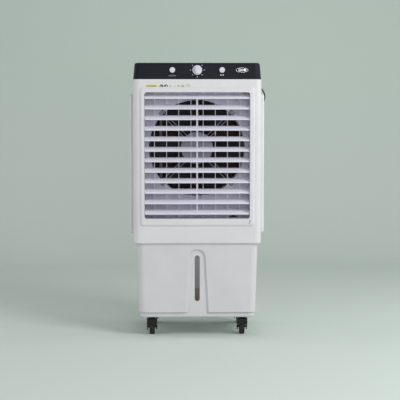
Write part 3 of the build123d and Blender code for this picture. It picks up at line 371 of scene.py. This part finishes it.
for material, names in (
    (white, ["housing", "grille_frame", "left_panel", "right_panel", "rear_panel"]),
    (tank_white, ["tank"]),
    (louver_white, [*LOUVERS, "louver_link"]),
    (vane_white, [*VANES, "vane_link"]),
    (bulkhead_painted_light, ["orifice_panel"]),
    (navy, ["top_cover"]),
    (silver, ["speed_knob", "left_button", "right_button"]),
    (dark, ["fan_impeller", "swing_crank", "switch_block", "pump"]),
    (dark, ["drain_plug", "inlet_valve", "float_arm"]),
    (bracket_shade_painted, ["motor_bracket"]),
    (motor_grey, ["fan_motor", "swing_motor"]),
    (pipe_white, ["water_manifold"]),
    (black, [*(f"caster_fork_{c}" for c in CORNERS), "caster_plates"]),
    (tyre_black, [f"caster_wheel_{c}" for c in CORNERS]),
    (zinc, ["screws"]),
    (window_grey, ["level_window"]),
    (pad_brown, ["cooling_pads"]),
    (lead_black, ["strain_relief", "power_cord", "cord_coil", "power_plug"]),
):
    for name in names:
        mesh = nodes[name].data
        mesh.materials.clear()
        mesh.materials.append(material)

# ---- mains lead ---------------------------------------------------------------------------
CORD_RADIUS = 3.0
COIL_X, COIL_Y = 128.0, 391.0
RELIEF_DROOP = radians(33)
RELIEF_LENGTH = 24.0
RELIEF_GROOVES, PLUG_GROOVES = 6, 4
PIN_SPACING = 19.0
GLAND = Vector((256.0, 163.0, 1020.0))
relief_dir = Vector((cos(RELIEF_DROOP), 0, -sin(RELIEF_DROOP)))
cord_exit = GLAND + RELIEF_LENGTH * relief_dir
route = [
    Vector(p)
    for p in (
        cord_exit,
        (288.0, 165.0, 995.0),
        (296.0, 171.0, 973.0),
        (289.5, 181.0, 947.0),
        (279.5, 198.0, 901.0),
        (267.5, 214.0, 825.0),
        (257.0, 226.5, 733.0),
        (251.5, 236.0, 633.0),
        (250.5, 248.0, 531.0),
        (247.0, 259.0, 431.0),
        (248.5, 275.0, 331.0),
        (246.5, 293.5, 236.0),
        (247.0, 314.5, 151.0),
        (244.5, 329.0, 98.0),
        (237.5, 339.5, 61.0),
        (222.5, 346.5, 34.0),
        (201.0, 350.5, 15.5),
        (175.0, 352.2, 5.5),
        (150.0, 352.2, CORD_RADIUS),
    )
]
# Coil, clockwise from above: outer turn, inner turn, then a turn in the valley on top of them
TURNS, STEPS = 3, 20
TOP_Z = CORD_RADIUS * (1 + sqrt(3))


def eased(t, a, b, width=0.22):
    """Goes from a to b around t = 0, over the given width of a turn."""
    k = min(1.0, max(0.0, t / width + 0.5))
    return a + (b - a) * k * k * (3 - 2 * k)


for i in range(TURNS * STEPS + 1):
    turn = i / STEPS
    radius = eased(turn - 0.95, 39.0, 33.0) + eased(turn - 1.95, 0.0, 3.0)
    height = eased(turn - 1.95, CORD_RADIUS, TOP_Z)
    angle = -pi / 2 - tau * turn
    route.append(Vector((COIL_X + radius * cos(angle), COIL_Y + radius * sin(angle), height)))
PLUG_TAIL = Vector((COIL_X - 25, COIL_Y - 36, TOP_Z))
route += [Vector((116.0, COIL_Y - 36, TOP_Z)), PLUG_TAIL, PLUG_TAIL + Vector((-6.0, 0, 0))]

lead_curve = bpy.data.curves.new("mains_lead", "CURVE")
lead_curve.dimensions = "3D"
line = lead_curve.splines.new("NURBS")
line.points.add(len(route) - 1)
for point, at in zip(line.points, route):
    point.co = (*(at * MM), 1)
line.order_u = 3
line.use_endpoint_u = True
line.resolution_u = 8
lead_curve.bevel_depth = CORD_RADIUS * MM
lead_curve.bevel_resolution = 6
lead_curve.use_fill_caps = True
lead_curve.materials.append(lead_black)
lead = bpy.data.objects.new("mains_lead", lead_curve)
bpy.context.scene.collection.objects.link(lead)
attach(lead, "cabinet")
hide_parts("power_cord", "cord_coil")


def relief_rings(bm):
    """Flange on the wall, then a tapered sleeve with flex grooves."""
    flange = [(-7, 6.3), (0, 6.3), (0.05, 9.4), (1.9, 9.4), (2.5, 8.8)]
    tube(bm, (GLAND, X_AXIS, Z_AXIS), round_sections(flange))
    sleeve = [(-3.5, 7.5), (3.0, 7.3)]
    for i in range(RELIEF_GROOVES):
        at = 4.0 + 3.1 * i
        full = 7.2 - 0.155 * (at + 1)
        sleeve += [(at, full), (at + 1.7, full - 0.25), (at + 1.9, full - 1.4), (at + 2.9, full - 1.5)]
    sleeve += [(RELIEF_LENGTH - 1.2, 4.0), (RELIEF_LENGTH, 3.7)]
    tube(bm, (GLAND, relief_dir, Vector((0, 1, 0))), round_sections(sleeve))


relief = show("strain_relief_ribbed", mesh_from("relief", relief_rings), "cabinet", lead_black)
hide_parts("strain_relief")


def plug_shape(bm):
    """Boot with flex grooves, then the grip that widens to the face."""
    boot = [(0, 4.0)]
    for i in range(PLUG_GROOVES):
        at = 2.0 + 3.6 * i
        full = 4.6 + 0.14 * at
        boot += [(at, full), (at + 2.2, full), (at + 2.4, full - 1.0), (at + 3.3, full - 1.0)]
    grip = [
        (17.5, 7.2, 6.6),
        (20.5, 10.5, 7.4),
        (26, 14.0, 7.9),
        (34, 16.6, 8.1),
        (44, 17.6, 8.15),
        (53, 17.8, 8.15),
        (54, 17.2, 7.6),
    ]
    tube(bm, (PLUG_TAIL, -X_AXIS, Z_AXIS), round_sections(boot) + grip, 40)


def plug_pins(bm):
    """Two round pins with blunt tips."""
    pin = [(0, 2.4), (18.2, 2.4), (19.6, 1.7), (20, 0.9)]
    for side in (-PIN_SPACING / 2, PIN_SPACING / 2):
        base = PLUG_TAIL + Vector((-53, side, 0))
        tube(bm, (base, -X_AXIS, Z_AXIS), round_sections(pin), 20)


plug = show("mains_plug", mesh_from("plug", plug_shape), "cabinet", lead_black)
smooth(plug.data)
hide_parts("power_plug")
pins = show("plug_pins", mesh_from("pins", plug_pins), "cabinet", zinc)
smooth(pins.data)

# ---- printed marks, label row and small fittings --------------------------------------------
print_white = paint("print_white", (0.70, 0.71, 0.74))
print_grey = paint("print_grey", (0.26, 0.27, 0.30))
chrome = metal("badge_chrome", (0.80, 0.80, 0.82), 0.22, (60.0, 60.0, 60.0))
cover_low, cover_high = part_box("top_cover")
knob_low, knob_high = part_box("speed_knob")
KNOB_Z = (knob_low.z + knob_high.z) / 2
COVER_LEAN = atan(0.0057 / (cover_high.z - cover_low.z))
out_of_cover = Vector((0, -cos(COVER_LEAN), sin(COVER_LEAN)))
PRINT = 0.00035
BUTTON_X = 0.0985
BADGE_THICKNESS = 0.0009


def on_cover(x, z):
    """Matrix of a drawing plane on the leaning front of the cover, a hair inside its skin."""
    y = cover_low.y + (z - cover_low.z) * sin(COVER_LEAN) / cos(COVER_LEAN)
    return facing(Vector((x, y, z)) - 0.0001 * out_of_cover, out_of_cover, (1, 0, 0))


def dial_marks(bm):
    """Seven strokes round the knob."""
    for degrees_round in (-90, -45, 0, 45, 135, 180, 225):
        a = radians(degrees_round)
        place = on_cover(0, KNOB_Z) @ Matrix.Rotation(a, 4, "Z")
        slab(bm, rounded(0.0268, 0, 0.0042, 0.0020, 0.0008), place, PRINT)


def button_marks(bm):
    """Two dots under the right push button."""
    for x in (0.0935, 0.1030):
        slab(bm, ellipse(0, 0, 0.0026, 0.0026), on_cover(x, KNOB_Z - 0.0195), PRINT)


def left_marks(bm):
    """An arc of short strokes under the left push button, with a line below it."""
    place = on_cover(-BUTTON_X, KNOB_Z - 0.0485)
    for i in range(7):
        a = radians(90 + (i - 3) * 9)
        stroke = rounded(0.0285, 0, 0.0024, 0.0030, 0.0008)
        slab(bm, stroke, place @ Matrix.Rotation(a, 4, "Z"), PRINT)
    for i in range(5):
        slab(bm, rounded((i - 2) * 0.0056, 0.0245, 0.0036, 0.0012, 0.0004), place, PRINT)


show("dial_marks", mesh_from("dial_marks", dial_marks), "cabinet", print_white)
show("right_button_marks", mesh_from("right_marks", button_marks), "cabinet", print_white)
show("left_button_marks", mesh_from("left_marks", left_marks), "cabinet", print_grey)


def badge(bm):
    """Plain oval badge: a rim with three plain bars and a lozenge inside it."""
    place = on_cover(0.178, KNOB_Z)
    ring(bm, place, 0.0245, 0.0092, 0.0013, BADGE_THICKNESS)
    for x, height in ((-0.0125, 0.0085), (-0.0065, 0.0105), (-0.0005, 0.0085)):
        slab(bm, rounded(x, 0, 0.0026, height, 0.0008), place, BADGE_THICKNESS)
    lozenge = [(0.0035, 0), (0.0105, -0.0058), (0.0175, 0), (0.0105, 0.0058)]
    slab(bm, lozenge, place, BADGE_THICKNESS)


show("badge", mesh_from("badge", badge), "cabinet", chrome)

LABEL_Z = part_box("housing")[1].z - 0.0285


def on_front(x, z):
    return facing((x, FRONT_Y + 0.0001, z), (0, -1, 0), (1, 0, 0))


def stickers(name, colour, shapes, lift=0.0):
    """Thin printed shapes on the housing's front; shapes are outlines about the label row."""

    def build(bm):
        for outline in shapes:
            place = on_front(0, LABEL_Z)
            place.translation.y -= lift
            slab(bm, outline, place, 0.0003)

    show(name, mesh_from(name, build), "cabinet", paint(name + "_ink", colour))


stickers("sticker_yellow", (0.66, 0.62, 0.04), [rounded(-0.181, 0.0005, 0.049, 0.0105, 0.002)])
stickers(
    "sticker_dashes",
    (0.16, 0.15, 0.03),
    [rounded(-0.197 + 0.0063 * i, 0.0012, 0.0044, 0.0042, 0.0006) for i in range(6)]
    + [rounded(-0.198 + 0.0062 * i, -0.0072, 0.0042, 0.0018, 0.0004) for i in range(7)],
    lift=0.0002,
)
stickers(
    "sticker_discs",
    (0.025, 0.03, 0.012),
    [ellipse(x, 0, 0.0078, 0.0078) for x in (-0.1417, -0.1237)],
)
stickers(
    "sticker_glyphs",
    (0.55, 0.60, 0.30),
    [rounded(-0.1440, 0.0006, 0.0028, 0.0080, 0.0008), ellipse(-0.1222, 0.0008, 0.0030, 0.0036)],
    lift=0.0002,
)
stickers("sticker_blue", (0.36, 0.46, 0.56), [rounded(-0.1062, 0, 0.0078, 0.0095, 0.002)])
stickers("sticker_pink", (0.66, 0.52, 0.46), [rounded(-0.0905, 0.0005, 0.0070, 0.0080, 0.002)])
stickers("sticker_orange", (0.72, 0.36, 0.05), [ellipse(-0.0743, 0.0005, 0.0062, 0.0048)])
stickers("sticker_green", (0.22, 0.46, 0.09), [ellipse(-0.0572, 0.0005, 0.0062, 0.0048)])
stickers("sticker_pale", (0.60, 0.57, 0.55), [ellipse(-0.0361, 0.0008, 0.0098, 0.0094)])
stickers("sticker_spot", (0.06, 0.05, 0.045), [ellipse(-0.0361, -0.0048, 0.0040, 0.0026)], lift=0.0002)
shuffled = random.Random(7)
stickers(
    "sticker_specks",
    (0.62, 0.60, 0.48),
    [
        ellipse(
            -0.196 + 0.0098 * i + shuffled.uniform(-0.002, 0.002),
            0.0155 + shuffled.uniform(-0.001, 0.001),
            0.0019,
            0.0014,
            10,
        )
        for i in range(13)
    ],
)

# Latch at the rim's lower right corner
LATCH_X = 0.1955
rim_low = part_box("grille_frame")[0]
louver_low, louver_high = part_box("louver_12")


def on_rim(z):
    """Matrix of a drawing plane on the rim's front, at the latch."""
    return facing((LATCH_X, rim_low.y + 0.0002, z), (0, -1, 0), X_AXIS)


def latch(bm):
    """Small lug on the rim."""
    place = on_rim(louver_low.z - 0.0265)
    slab(bm, rounded(0, 0, 0.026, 0.0062, 0.0022), place, 0.0016)


def latch_painted_gap_shade(bm):
    """Curved dark strokes beside the lug: painted shade of a slit."""
    place = on_rim(louver_low.z - 0.0270) @ Matrix.Translation((0.0065, 0, 0))
    for i in range(9):
        a = radians(-62 + 14 * i)
        stroke = rounded(0.0085, 0, 0.0016, 0.0026, 0.0005)
        slab(bm, stroke, place @ Matrix.Rotation(a, 4, "Z"), 0.0004)



SCREW_REACH = 0.044


def motor_screws(bm):
    """Four pan heads on the motor's face plate."""
    bracket_low, bracket_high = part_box("motor_bracket")
    middle = Vector((0, bracket_low.y, (bracket_low.z + bracket_high.z) / 2))
    head = [(0, 4.6), (1.6, 4.4), (2.6, 3.2), (2.9, 1.2)]
    for i in range(4):
        a = pi / 2 * i
        reach = Vector((SCREW_REACH * cos(a), 0.0005, SCREW_REACH * sin(a)))
        tube(bm, ((middle + reach) / MM, Vector((0, -1, 0)), Z_AXIS), round_sections(head), 24)


show("motor_plate_screws", mesh_from("motor_screws", motor_screws), "cabinet", zinc)

LOUVER_TILT = radians(25)
THUMB_X = 0.186
louver_face = facing((THUMB_X, 0, 0), (0, -sin(LOUVER_TILT), cos(LOUVER_TILT)), X_AXIS)


def thumb_mark(bm):
    """Oval outline round the thumb tab of the lowest louver, painted darker as the shade of a groove."""
    middle = (louver_low + louver_high) / 2
    middle.x = THUMB_X
    place = louver_face.copy()
    place.translation = middle + louver_face.to_3x3() @ Vector((0, -0.006, 0.0024))
    ring(bm, place, 0.0142, 0.0088, 0.0012, 0.0012)


# Darker bluish paint: painted shade in the groove round the thumb tab.
thumb_shade_paint = paint("thumb_shade_paint", (0.36, 0.36, 0.46))
show("thumb_outline", mesh_from("thumb_mark", thumb_mark), "louver_12_body", thumb_shade_paint)
show("latch_lug", mesh_from("latch", latch), "cabinet", white)
# Thin dark plastic strokes on the rim stand in for the slit's shade: painted shade.
show("latch_shade_strokes", mesh_from("latch_painted_gap_shade", latch_painted_gap_shade), "cabinet", dark)

# ---- studio ------------------------------------------------------------------------------------
BACKDROP = (0.65, 0.745, 0.68)
backdrop = bpy.data.materials.new("backdrop")
backdrop.use_nodes = True
matt = backdrop.node_tree.nodes["Principled BSDF"].inputs
matt["Base Color"].default_value = (*BACKDROP, 1)
matt["Roughness"].default_value = 0.9


def sweep(bm):
    """Floor that curves up into a wall behind."""
    bend, wall_y, half, top, near = 1.2, 3.2, 7.0, 5.0, -7.0
    profile = [(near, 0.0)]
    profile += [
        (wall_y - bend + bend * sin(a), bend - bend * cos(a))
        for a in [pi / 2 * i / 16 for i in range(17)]
    ]
    profile.append((wall_y, top))
    rails = [[bm.verts.new((x, y, z)) for y, z in profile] for x in (-half, half)]
    for i in range(len(profile) - 1):
        bm.faces.new((rails[0][i], rails[1][i], rails[1][i + 1], rails[0][i + 1]))


floor_mesh = mesh_from("floor", sweep)
smooth(floor_mesh)
floor = bpy.data.objects.new("floor", floor_mesh)
bpy.context.scene.collection.objects.link(floor)
floor_mesh.materials.append(backdrop)


def area_light(name, place, target, size, power, colour=(1, 1, 1)):
    data = bpy.data.lights.new(name, "AREA")
    data.shape = "RECTANGLE"
    data.size, data.size_y = size
    data.energy = power
    data.color = colour
    light = bpy.data.objects.new(name, data)
    bpy.context.scene.collection.objects.link(light)
    light.location = place
    aim = Vector(target) - Vector(place)
    light.rotation_euler = aim.to_track_quat("-Z", "Y").to_euler()


area_light("key", (2.3, -2.4, 2.7), (0, 0, 0.6), (1.5, 1.5), 70)
area_light("fill", (-2.6, -3.0, 1.4), (0, 0, 0.6), (2.2, 2.2), 9)
area_light("front", (0.3, -3.6, 1.15), (0, 0, 0.7), (0.9, 0.9), 17, (0.97, 0.96, 1.0))
area_light("left_side", (-2.8, 0.3, 1.3), (0, -0.1, 0.6), (0.8, 2.0), 14)
area_light("right_side", (2.8, 0.1, 1.2), (0, -0.1, 0.6), (0.8, 2.0), 15)
world = bpy.data.worlds.new("world")
bpy.context.scene.world = world
world.use_nodes = True
sky = world.node_tree.nodes["Background"].inputs
sky["Color"].default_value = (0.98, 0.96, 1.0, 1)
sky["Strength"].default_value = 0.38

bpy.context.view_layer.update()
